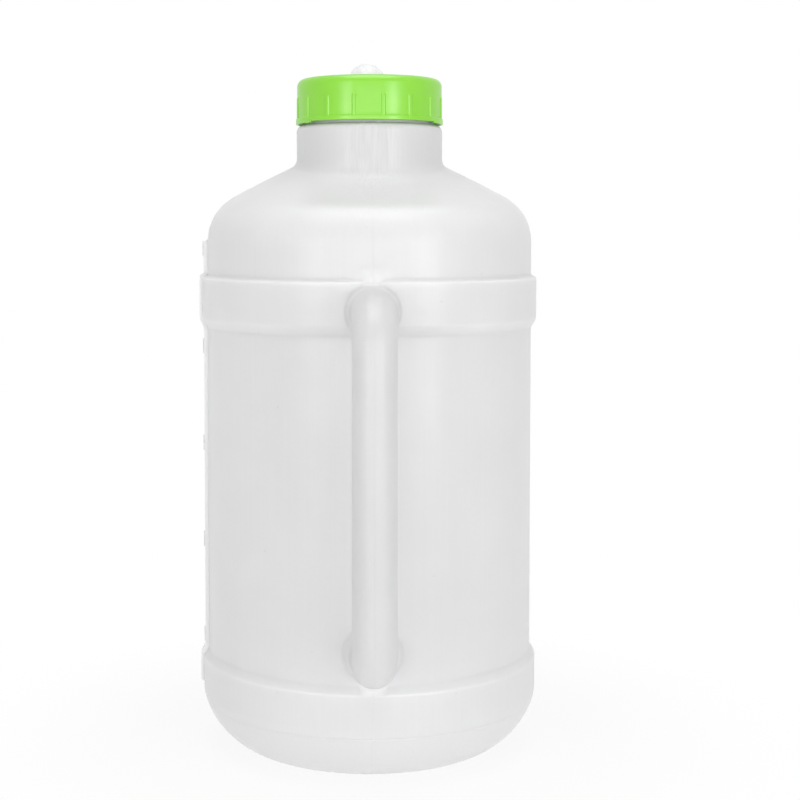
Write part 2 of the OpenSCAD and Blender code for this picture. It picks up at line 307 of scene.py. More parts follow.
class Hole:
    """A hole that a tube grows from: the grid's block of rows i0..i1 and columns j0..j1 is left open, and
    the grid round it is drawn to an ellipse of half-width rx and half-height rq round the angle at and the
    height qc. q is the height of each row."""

    def __init__(self, rows, at, qc, rx, rq, q, low, high, half_angle):
        self.at, self.qc, self.rx, self.rq, self.q = at, qc, rx, rq, q
        inside = np.arange(rows[0], rows[1])
        near = inside[(q[inside] >= low - 1e-6) & (q[inside] <= high + 1e-6)]
        self.i0, self.i1 = near[0], near[-1]
        self.half_angle = half_angle
        self.sign = 1.0 if q[self.i1] > q[self.i0] else -1.0
        self.low, self.high = sorted((q[self.i0], q[self.i1]))

    def warp(self, theta, w, r):
        """Moves the grid's angle theta and length w: within the hole's height a column goes sideways only,
        so the rows, and the band's edges with them, stay level; above and below, rows bend round it."""
        a = math.radians(self.half_angle)
        b = a * 2.6
        # The parting line's own columns stay where they are.
        keep = math.radians(0.55)
        dy = self.q - self.qc
        half = self.rx * np.sqrt(np.clip(1 - (dy / self.rq) ** 2, 0, 1))
        corner_high = self.rx * math.sqrt(1 - ((self.high - self.qc) / self.rq) ** 2)
        corner_low = self.rx * math.sqrt(1 - ((self.low - self.qc) / self.rq) ** 2)
        width = np.where(self.q > self.high, corner_high, np.where(self.q < self.low, corner_low, half))
        e = np.arcsin(np.clip(width / np.maximum(r, width + 1), 0, 0.99))[:, None]
        away = np.maximum(self.q - self.high, self.low - self.q)
        d = theta - math.radians(self.at)
        u = np.abs(d)
        at_edge = np.where(u <= keep, u, keep + (u - keep) * (e - keep) / (a - keep))
        x = r[:, None] * np.sin(np.minimum(at_edge, e))
        e = e + (a - e) * smooth(away / 26.0)[:, None]
        inner = keep + (u - keep) * (e - keep) / (a - keep)
        outer = e + (u - a) * (b - e) / (b - a)
        moved = np.where(u <= keep, u, np.where(u <= a, inner, np.where(u <= b, outer, u)))
        over = self.rq * np.sqrt(np.clip(1 - (x / self.rx) ** 2, 0, 1))
        rise = (self.qc + over - self.high) * (1 - smooth((self.q - self.high) / 24.0))[:, None]
        fall = (self.low - self.qc + over) * (1 - smooth((self.low - self.q) / 24.0))[:, None]
        on = u <= a + 1e-9
        shift = np.where(on & (self.q[:, None] >= self.high), rise, 0.0)
        shift = np.where(on & (self.q[:, None] <= self.low), -fall, shift)
        return math.radians(self.at) + np.sign(d) * moved, w + self.sign * shift

    def loop(self, columns, turned=False):
        """The ring of grid points round the hole as (row, column), from its lower corner on the side of the
        larger angle, up, across, down and back; turned starts at the upper corner and goes down."""
        low, high = (self.i0, self.i1) if (self.sign > 0) != turned else (self.i1, self.i0)
        step = 1 if high > low else -1
        j0, j1 = columns
        up = np.arange(low, high, step)
        across = np.arange(j1, j0, -1)
        ring_i = np.concatenate([up, np.full(len(across), high), up[::-1] + step, np.full(len(across), low)])
        ring_j = np.concatenate([np.full(len(up), j1), across, np.full(len(up), j0), across[::-1] - 1])
        return ring_i, ring_j


def bridge(p0, t0, p1, t1, steps):
    """Rings from p0 to p1 that leave along t0 and arrive along t1: a cubic Hermite curve for each point."""
    t = np.linspace(0.0, 1.0, steps + 1)[:, None, None]
    return ((2 * t ** 3 - 3 * t ** 2 + 1) * p0 + (t ** 3 - 2 * t ** 2 + t) * t0
            + (3 * t ** 2 - 2 * t ** 3) * p1 + (t ** 3 - t ** 2) * t1)


def leave_surface(normal, inward):
    """The directions inward laid flat on the surface with those normals."""
    flat = inward - (inward * normal).sum(-1, keepdims=True) * normal
    return flat / np.linalg.norm(flat, axis=-1, keepdims=True)


def fillet(p0, d0, p1, d1, steps):
    """Rings from the surface to the start of a tube. Each line leaves along d0 and arrives along d1, and
    its pulls are 1.66 times the legs to the point where those two lines meet, as for a quarter circle.
    Where they are nearly parallel, each pull becomes the distance between the two ends."""
    gap = p1 - p0
    dot = (d0 * d1).sum(-1)
    g0, g1 = (gap * d0).sum(-1), (gap * d1).sum(-1)
    apart = np.maximum(1 - dot ** 2, 1e-6)
    span = np.linalg.norm(gap, axis=-1)
    share = smooth(apart / 0.5)
    legs = np.stack([g0 - dot * g1, g1 - dot * g0]) / apart
    legs = 0.6 * span + (np.clip(legs, 0.2 * span, span) - 0.6 * span) * share
    return bridge(p0, 1.66 * legs[0][:, None] * d0, p1, 1.66 * legs[1][:, None] * d1, steps)


def arm_start(points, normals, ring, zc, root_r, slope, foot_y, up):
    """Fillet from a hole in the wall to the foot of an arm, and the ring's directions across the tube.
    slope is how much the arm's radius falls per millimetre; up is 1 where the ring's angle rises with z."""
    p0 = points[ring]
    x, z = p0[:, 0], p0[:, 2] - zc
    reach = np.hypot(x, z)
    cos, sin = x / reach, z / reach
    flat = np.zeros_like(cos)
    p1 = np.stack([root_r * cos, np.full_like(x, -foot_y), zc + root_r * sin], -1)
    d1 = np.stack([-slope * cos, flat - 1.0, -slope * sin], -1) / math.hypot(1.0, slope)
    d0 = leave_surface(normals[ring], np.stack([-cos, flat, -sin], -1))
    return fillet(p0, d0, p1, d1, 6), np.stack([cos, up * sin], -1)


def handle_rings(points, normals, upper, lower, t, seam, steps):
    """The whole handle between two rings of the wall, moved in by t: a fillet, the tapering upper arm, an
    elbow, the grip, an elbow, the tapering lower arm and a fillet. The ring turns with the path in x = 0."""
    tube_r, root_r = GRIP_R - t, ROOT_R - t
    foot0, foot1 = BAND_R + UPPER_CLEAR, BODY_R + LOWER_CLEAR
    arm_end = GRIP_Y - ELBOW_R
    fall0, fall1 = [(root_r - tube_r) / (arm_end - foot) for foot in (foot0, foot1)]
    first, dir0 = arm_start(points, normals, upper, UPPER_Z, root_r, fall0, foot0, 1.0)
    last, dir1 = arm_start(points, normals, lower, LOWER_Z, root_r, fall1, foot1, -1.0)
    arm_steps, elbow_steps, grip_steps = steps
    beta = np.concatenate([np.zeros(arm_steps), np.linspace(0, RIGHT_ANGLE, elbow_steps, endpoint=False),
                           np.full(grip_steps, RIGHT_ANGLE),
                           np.linspace(RIGHT_ANGLE, math.pi, elbow_steps, endpoint=False),
                           np.full(arm_steps + 1, math.pi)])
    top, bottom = UPPER_Z - ELBOW_R, LOWER_Z + ELBOW_R
    y = np.concatenate([-np.linspace(foot0, arm_end, arm_steps, endpoint=False),
                        -arm_end - ELBOW_R * np.sin(beta[arm_steps:arm_steps + elbow_steps]),
                        np.full(grip_steps, -GRIP_Y),
                        -arm_end - ELBOW_R * np.sin(beta[-arm_steps - 1 - elbow_steps:-arm_steps - 1]),
                        -np.linspace(arm_end, foot1, arm_steps + 1)])
    z = np.concatenate([np.full(arm_steps, UPPER_Z),
                        top + ELBOW_R * np.cos(beta[arm_steps:arm_steps + elbow_steps]),
                        np.linspace(top, bottom, grip_steps, endpoint=False),
                        bottom + ELBOW_R * np.cos(beta[-arm_steps - 1 - elbow_steps:-arm_steps - 1]),
                        np.full(arm_steps + 1, LOWER_Z)])
    share = smooth(np.linspace(0, 1, len(beta)))[:, None, None]
    turn = dir0 * (1 - share) + dir1 * share
    turn /= np.linalg.norm(turn, axis=-1, keepdims=True)
    taper = np.where(np.arange(len(beta)) < len(beta) / 2, fall0, fall1) * np.maximum(arm_end + y, 0)
    radius = tube_r + taper[:, None]
    if seam:
        radius = radius + 0.3 * seam_height(tube_r * turn[..., 0])
    x = radius * turn[..., 0]
    s = radius * turn[..., 1]
    rings = np.stack([x, y[:, None] - np.sin(beta)[:, None] * s, z[:, None] + np.cos(beta)[:, None] * s], -1)
    return np.concatenate([first[:-1], rings, last[:-1][::-1]])


def spout_rings(points, normals, loop, t, seam, steps):
    """The spout from its ring on the dome: a fillet, a slim cone and the round closed tip. A ring's plane is
    square to the line from the foot to the tip."""
    lean = math.atan2(TIP_Y - FOOT_Y, TIP_Z - FOOT_Z)
    run = math.hypot(TIP_Y - FOOT_Y, TIP_Z - FOOT_Z)
    axis = np.array([0, math.sin(lean), math.cos(lean)])
    side = np.array([0, math.cos(lean), -math.sin(lean)])
    base = np.array([0, FOOT_Y, FOOT_Z])
    start = 13.0
    foot = points[loop]
    rel = foot - base
    reach = np.hypot(rel[:, 0], rel @ side)
    cos, sin = rel[:, 0] / reach, (rel @ side) / reach
    outward = cos[:, None] * np.array([1.0, 0, 0]) + sin[:, None] * side
    cone_steps, tip_steps = steps
    tip_r = TIP_R - t
    d = np.concatenate([np.linspace(start, run, cone_steps, endpoint=False),
                        run + (tip_r - SEAM_ROOM) * np.sin(np.linspace(0, RIGHT_ANGLE, tip_steps + 1))])
    cone = FOOT_R + (TIP_R - FOOT_R) * (d - 2) / (run - 2) - t
    tip = tip_r * np.sqrt(np.clip(1 - ((d - run) / (tip_r - SEAM_ROOM)) ** 2, 0, 1))
    rho = np.where(d < run, cone, tip)[:, None]
    if seam:
        rho = rho + (seam_height(rho * cos) - SEAM_ROOM) * np.minimum(rho / 3, 1)
    ring = base + d[:, None, None] * axis + rho[..., None] * outward
    slope = (TIP_R - FOOT_R) / run
    leave = (axis + slope * outward) / math.hypot(1.0, slope)
    first = fillet(foot, leave_surface(normals[loop], -outward), ring[0], leave, 12)
    return np.concatenate([first[:-1], ring])


def helix_ridge(radius, side, z0, turns, base_w, crest_w, height=1.7, sink=0.6, per_turn=60):
    """A screw thread's ridge on a wall of that radius: a rounded trapezoid carried along a helix, which
    rises from the wall over the first and last eighth of a turn."""
    n = round(turns * per_turn)
    i = np.arange(n + 1)
    share = np.minimum(np.minimum(i, n - i) / (per_turn / 8), 1.0)
    share = smooth(share * 0.94 + 0.06)[:, None]
    across = np.array([-1, -0.86, -0.6, -0.3, 0.3, 0.6, 0.86, 1])
    lift = np.array([-1, 0.05, 0.62, 1, 1, 0.62, 0.05, -1])
    half = base_w / 2 + (crest_w - base_w) / 2 * (1 - np.abs(across)) / 0.7
    dz = across * np.maximum(half, crest_w / 2)
    r = radius + side * np.where(lift < 0, -sink, height * share * np.maximum(lift, 0))
    a = (2 * math.pi * i / per_turn)[:, None]
    z = z0 + THREAD_PITCH * (i / per_turn)[:, None] + dz
    points = np.stack([r * np.cos(a), r * np.sin(a), z], -1)
    m = len(across)
    faces = grid_faces(n + 1, m).tolist() + [list(range(m))[::-1], list(range(n * m, n * m + m))]
    return points, faces


def jug_parts():
    """The jug as one closed skin: the outside, the lip, the inside, and for each skin the handle and the
    spout, which grow out of holes in it."""
    def side_steps(upper):
        return np.count_nonzero((upper[:, 1] >= UPPER_HOLE[0]) & (upper[:, 1] <= UPPER_HOLE[1])) - 1

    outside = outer_rows(side_steps(outer_rows(None)))
    inside = inner_rows(side_steps(inner_rows(None)))
    rows = np.vstack([outside, inside])
    n_out = len(outside)
    r, z = rows.T
    w = np.concatenate([[0], np.cumsum(np.hypot(np.diff(r), np.diff(z)))])

    # Fixed columns beside the parting line, over the arms and over the strip, in mm from their middle.
    seam_u = np.array([0, 0.2, 0.42, 0.8])
    arm_u = np.concatenate([seam_u, [2, 4, 6, 8, 10.2, 12.6, 14.9, 17.2]])
    strip_u = np.array([0, 3.6, 6.6, 7.35, 7.7, 8.05, 8.4, 9.2])
    marks = {0.0, 360.0}
    arm_half = math.degrees(arm_u[-1] / BAND_R)
    for at, offsets in ((HANDLE_AT, np.degrees(arm_u / BAND_R)), (SPOUT_AT, np.degrees(seam_u / BAND_R)),
                        (STRIP_AT, np.degrees(strip_u / BODY_R)), (SPOUT_AT, np.array([SPOUT_HALF]))):
        marks |= set(np.round(np.concatenate([at + offsets, at - offsets]), 6))
    columns = filled(marks, 2.6)
    theta = np.radians(columns)
    m = len(columns)

    def columns_of(at, half):
        return tuple(int(np.argmin(np.abs(columns - at - s * half))) for s in (-1, 1))

    arm_columns = columns_of(HANDLE_AT, arm_half)
    spout_columns = columns_of(SPOUT_AT, SPOUT_HALF)

    def at_radius(radius, skin):
        """Length w at which the dome has that radius, on the outside or the inside."""
        part = slice(0, n_out) if skin == 0 else slice(n_out, len(rows))
        on = (z[part] > SHOULDER_Z) & (r[part] > 40)
        order = np.argsort(r[part][on])
        return float(np.interp(radius, r[part][on][order], w[part][on][order]))

    holes = []
    for skin, span in ((0, (0, n_out)), (1, (n_out, len(rows)))):
        for zc, hole_r, heights in ((UPPER_Z, UPPER_HOLE_R, UPPER_HOLE), (LOWER_Z, LOWER_HOLE_R, LOWER_HOLE)):
            holes.append((Hole(span, HANDLE_AT, zc, hole_r, hole_r, z, *heights, arm_half), arm_columns))
        low, high = sorted(at_radius(radius, skin) for radius in SPOUT_HOLE_REACH)
        mid, half = (low + high) / 2, (high - low) / 2
        side = SPOUT_HOLE_SIDE * half
        holes.append((Hole(span, SPOUT_AT, mid, SPOUT_HOLE_R, half, w, mid - side, mid + side,
                           SPOUT_HALF), spout_columns))

    grid_theta = np.broadcast_to(theta, (len(rows), m)).copy()
    grid_w = np.broadcast_to(w[:, None], (len(rows), m)).copy()
    for k, (hole, cols) in enumerate(holes):
        skin_rows = slice(0, n_out) if k < 3 else slice(n_out, len(rows))
        new_theta, new_w = hole.warp(grid_theta, grid_w, r)
        grid_theta[skin_rows], grid_w[skin_rows] = new_theta[skin_rows], new_w[skin_rows]

    grid_r = np.interp(grid_w, w, r)
    grid_z = np.interp(grid_w, w, z)
    # The surface's normal is square to the profile's direction, which runs from the row before to the next.
    side = np.interp(grid_w, w, np.gradient(z))
    normals = np.stack([side * np.cos(grid_theta), side * np.sin(grid_theta),
                        -np.interp(grid_w, w, np.gradient(r))], -1)
    normals /= np.linalg.norm(normals, axis=-1, keepdims=True)
    grid_z = grid_z - front_fall(grid_r, grid_z, grid_theta)
    outer = np.arange(len(rows)) < n_out
    u = (grid_theta - math.radians(STRIP_AT)) * BODY_R
    on_strip = smooth((STRIP_HALF + 0.4 - np.abs(u)) / 0.8) * outer[:, None]
    on_strip = on_strip * (grid_z > 34) * (grid_z < 284.6)
    grid_r = grid_r + on_strip * np.maximum(strip_radius(grid_z) - grid_r, 0)
    x = grid_r * np.cos(grid_theta)
    grid_r = grid_r + root_swelling(x, grid_z, grid_r, grid_theta) * outer[:, None]
    grid_r = grid_r - 0.22 * np.exp(-((grid_z - GROOVE_Z) / 0.3) ** 2) * outer[:, None]
    pinch = smooth((18 - grid_z) / 10) * smooth((56 - grid_r) / 6)
    seam = seam_height(x, pinch) * outer[:, None] * (grid_z < LEDGE_Z - 1) * smooth((grid_r - 1) / 6)
    low = grid_z < 12
    grid_r = grid_r + np.where(low, 0, seam)
    grid_z = grid_z - np.where(low & outer[:, None], np.minimum(seam, grid_z), 0)
    points = np.stack([grid_r * np.cos(grid_theta), grid_r * np.sin(grid_theta), grid_z], -1)

    parts = [(points, grid_faces(len(rows), m, skip=[(h.i0, h.i1, c[0], c[1]) for h, c in holes]))]
    for skin, t, steps, spout_steps in ((0, 0.0, (5, 12, 48), (24, 9)), (1, WALL, (4, 8, 24), (12, 6))):
        (upper, cols), (lower, _), (spout, spout_cols) = holes[3 * skin:3 * skin + 3]
        ring_up = upper.loop(cols)
        ring_low = lower.loop(cols, turned=True)
        rings = handle_rings(points, normals, ring_up, ring_low, t, skin == 0, steps)
        parts.append((rings, grid_faces(len(rings), rings.shape[1])))
        rings = spout_rings(points, normals, spout.loop(spout_cols), t, skin == 0, spout_steps)
        parts.append((rings, grid_faces(len(rings), rings.shape[1])))
    parts.append(helix_ridge(FINISH_R, 1, THREAD_Z, 1.9, *NECK_RIDGE))
    return parts


# Gauge relief

def raised_bar(u0, u1, zc, half_h, face_r, proud):
    """A raised bar on the strip: a closed pillow over the rectangle u0..u1 by 2 half_h, whose edges fall
    off over a quarter of a millimetre, bent to the strip's radius."""
    s = np.array([0, 0.02, 0.12, 0.3, 1.0])
    edge = np.array([-0.6, 0, 0.75, 1, 1])
    us = np.concatenate([u0 + s, u1 - s[::-1]])
    vs = np.concatenate([-half_h + s[:4], half_h - s[:4][::-1]])
    eu = np.concatenate([edge, edge[::-1]])
    ev = np.concatenate([edge[:4], edge[:4][::-1]])
    lift = np.minimum(ev[:, None], eu[None, :])
    a = math.radians(STRIP_AT) + np.broadcast_to(us / face_r, lift.shape)
    rr = face_r + np.where(lift < 0, -0.5, proud * lift)
    z = np.broadcast_to(zc + vs[:, None], lift.shape)
    top = np.stack([rr * np.cos(a), rr * np.sin(a), z], -1)
    rows, cols = lift.shape
    ring = np.concatenate([np.arange(cols), np.arange(1, rows) * cols + cols - 1,
                           (rows - 1) * cols + np.arange(cols - 2, -1, -1),
                           np.arange(rows - 2, 0, -1) * cols])
    return top, grid_faces(rows, cols, closed=False).tolist() + [ring[::-1].tolist()]


def strip_number(text, uc, zc, height, face_r, proud):
    """A plain raised number on the strip, upright to someone who looks at the strip, bent to its radius."""
    curve = bpy.data.curves.new("number", "FONT")
    curve.body = text
    curve.size = height * 1.38
    curve.align_x = "CENTER"
    curve.extrude = proud
    curve.bevel_depth = 0.12
    curve.bevel_resolution = 1
    curve.offset = 0.05
    holder = bpy.data.objects.new("number", curve)
    mesh = bpy.data.meshes.new_from_object(holder)
    co = np.zeros(len(mesh.vertices) * 3)
    mesh.vertices.foreach_get("co", co)
    co = co.reshape(-1, 3)
    faces = [list(p.vertices) for p in mesh.polygons]
    bpy.data.objects.remove(holder)
    bpy.data.curves.remove(curve)
    bpy.data.meshes.remove(mesh)
    u = uc + co[:, 0]
    z = zc + co[:, 1] - (co[:, 1].max() + co[:, 1].min()) / 2
    rr = face_r + np.clip(co[:, 2], -0.5, proud)
    a = math.radians(STRIP_AT) + u / face_r
    return np.stack([rr * np.cos(a), rr * np.sin(a), z], -1), faces


def gauge_parts():
    """The graduations on the strip: long bars with plain numbers and short bars between them."""
    parts = []
    for i in range(MARK_COUNT):
        z = FIRST_MARK_Z + i * MARK_STEP
        face = BAND_R + 1.7 if 239 < z < 264 else BODY_R + 2.3
        long_mark = i % 2 == 0
        parts.append(raised_bar(-7.0, -0.6 if long_mark else -3.2, z, 0.8, face, 0.7))
        if long_mark:
            parts.append(strip_number(str(i // 2 + 1), 3.4, z, 8.6, face, 0.65))
    return parts


# Cap and seal

def cap_parts():
    """The screw cap: top with a shallow recess, rounded edge, skirt with grip ribs and a bead round its
    foot, two stops under the edge, and the thread inside."""
    corners = [(0, CAP_TOP_Z - 0.1, 0, 1), (1.6, CAP_TOP_Z - 0.1, 0.3, 1), (1.9, CAP_TOP_Z - 0.6, 0.2, 10),
               (31, CAP_TOP_Z - 0.6, 0.5, 1), (32, CAP_TOP_Z, 0.6, 3)]
    corners += arc(CAP_R - 4.2, CAP_TOP_Z - 4.2, 4.2, 90, 0, 12)
    corners += [(CAP_R, 364.3, 0, 1), (CAP_R, 364.0, 0, 1), (CAP_R, 363.7, 0, 1), (CAP_R, 363.4, 0, 1),
                (CAP_R, 363.0, 0, 7), (CAP_R, CAP_Z + 2.75, 0.25, 1), (BEAD_R, CAP_Z + 2.3, 0.35, 3),
                (BEAD_R, CAP_Z, 0.45, 1), (40.1, CAP_Z, 0, 1), (39.7, CAP_Z, 0, 1),
                (CAP_IN_R, CAP_Z, 0.25, 8), (CAP_IN_R, LIP_Z + SEAL_T, 0.3, 6), (0, LIP_Z + SEAL_T, 0, 1)]
    rows = rounded_line(corners, 4)
    r, z = rows[:, :1], rows[:, 1:]
    # Fixed columns over a rib, in mm from its middle.
    rib_u = np.array([0, 0.4, 0.62, 0.74, 0.86, 0.98, 1.1, 1.22, 1.45])
    stop_edges = [STOP_TURN + turn + sign * (STOP_SPAN / 2 + soft)
                  for turn in (0, 180) for sign in (-1, 1) for soft in (-0.35, 0.35)]
    marks = {0.0, 360.0} | set(np.round(np.mod(stop_edges, 360), 6))
    for i in range(RIBS):
        at = RIB_TURN + 360 * i / RIBS
        marks |= set(np.round(np.mod(np.concatenate([at + np.degrees(rib_u / CAP_R),
                                                     at - np.degrees(rib_u / CAP_R)]), 360), 6))
    columns = filled(marks, 2.0)
    pitch = 360 / RIBS
    u = ((columns - RIB_TURN + pitch / 2) % pitch - pitch / 2) * math.pi / 180 * CAP_R
    rib = smooth((1.24 - np.abs(u)) / 0.6)[None, :]
    # The profile's last 18 rows are the inside, which has no ribs.
    outside = np.arange(len(rows))[:, None] < len(rows) - 18
    window = smooth((RIB_TOP_Z + 0.3 - z) / 0.8) * (z > CAP_Z + 2.2) * outside
    rr = np.where(window * rib > 0, r + np.maximum(CAP_R + 0.6 - r, 0) * rib * window, r)
    off = np.abs((columns - STOP_TURN + 90) % 180 - 90)
    stop = smooth((STOP_SPAN / 2 + 0.35 - off) / 0.7)[None, :]
    foot = (z < CAP_Z + 1.0) * smooth((r - 39.7) / 0.4)
    zz = z - STOP_DROP * stop * foot * smooth((CAP_Z + 1.0 - z) / 0.8)
    a = np.radians(columns)[None, :]
    points = np.stack([rr * np.cos(a), rr * np.sin(a), zz + 0 * a], -1)
    # The cap's ridge hangs under the neck's, flank to flank.
    ridge_z = THREAD_Z - sum(NECK_RIDGE + CAP_RIDGE) / 4 - THREAD_PLAY
    return [(points, grid_faces(len(rows), len(columns))),
            helix_ridge(CAP_IN_R, -1, ridge_z, 1.5, *CAP_RIDGE)]


def seal_parts():
    """The foam seal: a disc with soft edges, pressed in a little where the lip closes on it."""
    low, high = LIP_Z, LIP_Z + SEAL_T
    corners = [(0, low, 0, 8), (33.5, low, 0, 1), (34.2, low + 0.25, 0, 2), (36.6, low + 0.25, 0, 1),
               (37.2, low, 0, 1), (SEAL_R, low, 0.4, 1), (SEAL_R, high, 0.4, 10), (0, high, 0, 1)]
    rows = rounded_line(corners, 4)
    a = np.radians(np.arange(0, 360, 3.0))[None, :]
    r, z = rows[:, :1], rows[:, 1:]
    points = np.stack([r * np.cos(a), r * np.sin(a), z + 0 * a], -1)
    return [(points, grid_faces(len(rows), a.size))]


# Materials

def linear(hex_colour):
    """An sRGB hex colour as linear RGBA: c / 12.92 below 0.04045, ((c + 0.055) / 1.055)^2.4 above it."""
    c = np.array([int(hex_colour[i:i + 2], 16) / 255 for i in (0, 2, 4)])
    return (*np.where(c <= 0.04045, c / 12.92, ((c + 0.055) / 1.055) ** 2.4), 1.0)


def add(tree, kind, inputs=None, **settings):
    """Adds a node with its settings. An input is a value, or a link as (node, output)."""
    node = tree.nodes.new(kind)
    for key, value in settings.items():
        setattr(node, key, value)
    for key, value in (inputs or {}).items():
        if isinstance(value, tuple) and isinstance(value[0], bpy.types.Node):
            tree.links.new(value[0].outputs[value[1]], node.inputs[key])
        else:
            node.inputs[key].default_value = value
    return node


def new_material(name):
    """An empty node material: its tree, its Principled shader and the object coordinates in metres."""
    material = bpy.data.materials.new(name)
    material.use_nodes = True
    tree = material.node_tree
    shader = tree.nodes["Principled BSDF"]
    return material, tree, shader, add(tree, "ShaderNodeTexCoord")


def natural_hdpe():
    """Natural high-density polyethylene, extrusion blow moulded: milky, a little translucent, satin from
    the sandblasted mould, with die lines that run down the parison and a faint sag in the wall."""
    material, tree, shader, place = new_material("natural_hdpe_blow_moulded")
    at = (place, "Object")
    # Wall thickness varies over about 60 mm: thicker is milkier.
    cloud = add(tree, "ShaderNodeTexNoise", {"Vector": at, "Scale": 1 / 0.06, "Detail": 2.0})
    # Die lines: 1.5 mm wide and some 200 mm long down the wall.
    drawn = add(tree, "ShaderNodeMapping", {"Vector": at, "Scale": (1.0, 1.0, 0.008)})
    lines = add(tree, "ShaderNodeTexNoise", {"Vector": (drawn, 0), "Scale": 1 / 0.0016, "Detail": 3.0,
                                             "Roughness": 0.65})
    milky = add(tree, "ShaderNodeMix", {"Factor": (cloud, "Fac"), "A": linear("d9d9d9"),
                                        "B": linear("e5e5e5")}, data_type="RGBA")
    lined = add(tree, "ShaderNodeMapRange", {"Value": (lines, "Fac"), "From Min": 0.3, "From Max": 0.7,
                                             "To Min": 0.992, "To Max": 1.006})
    toned = add(tree, "ShaderNodeMix", {"Factor": 1.0, "A": (milky, "Result"), "B": (lined, "Result")},
                data_type="RGBA", blend_type="MULTIPLY")
    # Gels and dust in the melt: specks about 1 mm across, some 15 mm apart.
    gels = add(tree, "ShaderNodeTexVoronoi", {"Vector": at, "Scale": 1 / 0.015, "Randomness": 1.0})
    speck = add(tree, "ShaderNodeMapRange", {"Value": (gels, "Distance"), "From Min": 0.018,
                                             "From Max": 0.045, "To Min": 0.9, "To Max": 1.0})
    specked = add(tree, "ShaderNodeMix", {"Factor": 1.0, "A": (toned, "Result"), "B": (speck, "Result")},
                  data_type="RGBA", blend_type="MULTIPLY")
    # Painted shade on the handle: its colour is darker from 95 mm to 108 mm in front of the axis on.
    apart = add(tree, "ShaderNodeSeparateXYZ", {"Vector": at})
    handle_painted_shade = add(tree, "ShaderNodeMapRange", {"Value": (apart, "Y"), "From Min": -0.108, "From Max": -0.095,
                                            "To Min": 0.855, "To Max": 1.0}, interpolation_type="SMOOTHSTEP")
    # Painted shade on the neck, which is greyer above 312 mm, and painted light on the spout's tip, which is
    # lighter above 352 mm.
    neck = add(tree, "ShaderNodeMapRange", {"Value": (apart, "Z"), "From Min": 0.312, "From Max": 0.330,
                                            "To Min": 1.0, "To Max": 0.88}, interpolation_type="SMOOTHSTEP")
    tip = add(tree, "ShaderNodeMapRange", {"Value": (apart, "Z"), "From Min": 0.352, "From Max": 0.375,
                                           "To Min": 1.0, "To Max": 1.45})
    # The neck's painted shade times the tip's painted light.
    height = add(tree, "ShaderNodeMath", {0: (neck, "Result"), 1: (tip, "Result")}, operation="MULTIPLY")
    # Parting line: 1 mm wide where the two halves of the mould meet, a little darker as painted shade along
    # its ridge.
    off = add(tree, "ShaderNodeMath", {0: (apart, "X")}, operation="ABSOLUTE")
    parting = add(tree, "ShaderNodeMapRange", {"Value": (off, 0), "From Min": 0.0002, "From Max": 0.0008,
                                               "To Min": 0.985, "To Max": 1.0})
    # Folds: wavy upright streaks about 1.4 mm wide near the parting line of the neck, where the parison
    # was gathered.
    gather = add(tree, "ShaderNodeMapping", {"Vector": at, "Scale": (1.0, 1.0, 0.07)})
    folds = add(tree, "ShaderNodeTexNoise", {"Vector": (gather, 0), "Scale": 1 / 0.0014, "Detail": 1.0,
                                             "Distortion": 0.8})
    near = add(tree, "ShaderNodeMapRange", {"Value": (off, 0), "From Min": 0.008, "From Max": 0.02,
                                            "To Min": 1.0, "To Max": 0.0})
    high = add(tree, "ShaderNodeMapRange", {"Value": (apart, "Z"), "From Min": 0.290, "From Max": 0.325})
    gathered = add(tree, "ShaderNodeMath", {0: (near, "Result"), 1: (high, "Result")}, operation="MULTIPLY")
    streak = add(tree, "ShaderNodeMapRange", {"Value": (folds, "Fac"), "From Min": 0.35, "From Max": 0.65,
                                              "To Min": 0.95, "To Max": 1.03})
    folded = add(tree, "ShaderNodeMix", {"Factor": (gathered, 0), "A": 1.0, "B": (streak, "Result")})
    local = add(tree, "ShaderNodeMath", {0: (handle_painted_shade, "Result"), 1: (parting, "Result")}, operation="MULTIPLY")
    local = add(tree, "ShaderNodeMath", {0: (local, 0), 1: (height, 0)}, operation="MULTIPLY")
    local = add(tree, "ShaderNodeMath", {0: (local, 0), 1: (folded, "Result")}, operation="MULTIPLY")
    final = add(tree, "ShaderNodeMix", {"Factor": 1.0, "A": (specked, "Result"), "B": (local, 0)},
                data_type="RGBA", blend_type="MULTIPLY")
    tree.links.new(final.outputs["Result"], shader.inputs["Base Color"])
    # Sandblasted mould: 0.7 mm grain; cooling leaves 5 mm orange peel and a slow sag over 45 mm.
    grain = add(tree, "ShaderNodeTexNoise", {"Vector": at, "Scale": 1 / 0.0007, "Detail": 2.0})
    peel = add(tree, "ShaderNodeTexNoise", {"Vector": at, "Scale": 1 / 0.005, "Detail": 1.0})
    sag = add(tree, "ShaderNodeTexNoise", {"Vector": at, "Scale": 1 / 0.045, "Detail": 1.0})
    bump = add(tree, "ShaderNodeBump", {"Height": (sag, "Fac"), "Strength": 1.0, "Distance": 0.0009})
    bump = add(tree, "ShaderNodeBump", {"Height": (lines, "Fac"), "Strength": 0.5, "Distance": 0.00003,
                                        "Normal": (bump, "Normal")})
    bump = add(tree, "ShaderNodeBump", {"Height": (peel, "Fac"), "Strength": 0.6, "Distance": 0.00012,
                                        "Normal": (bump, "Normal")})
    bump = add(tree, "ShaderNodeBump", {"Height": (grain, "Fac"), "Strength": 0.5, "Distance": 0.00005,
                                        "Normal": (bump, "Normal")})
    tree.links.new(bump.outputs["Normal"], shader.inputs["Normal"])
    satin = add(tree, "ShaderNodeMapRange", {"Value": (peel, "Fac"), "To Min": 0.32, "To Max": 0.42})
    tree.links.new(satin.outputs["Result"], shader.inputs["Roughness"])
    shader.inputs["IOR"].default_value = 1.54
    shader.inputs["Subsurface Weight"].default_value = 0.75
    shader.inputs["Subsurface Radius"].default_value = (1.0, 1.0, 0.95)
    shader.inputs["Subsurface Scale"].default_value = 0.006
    return material


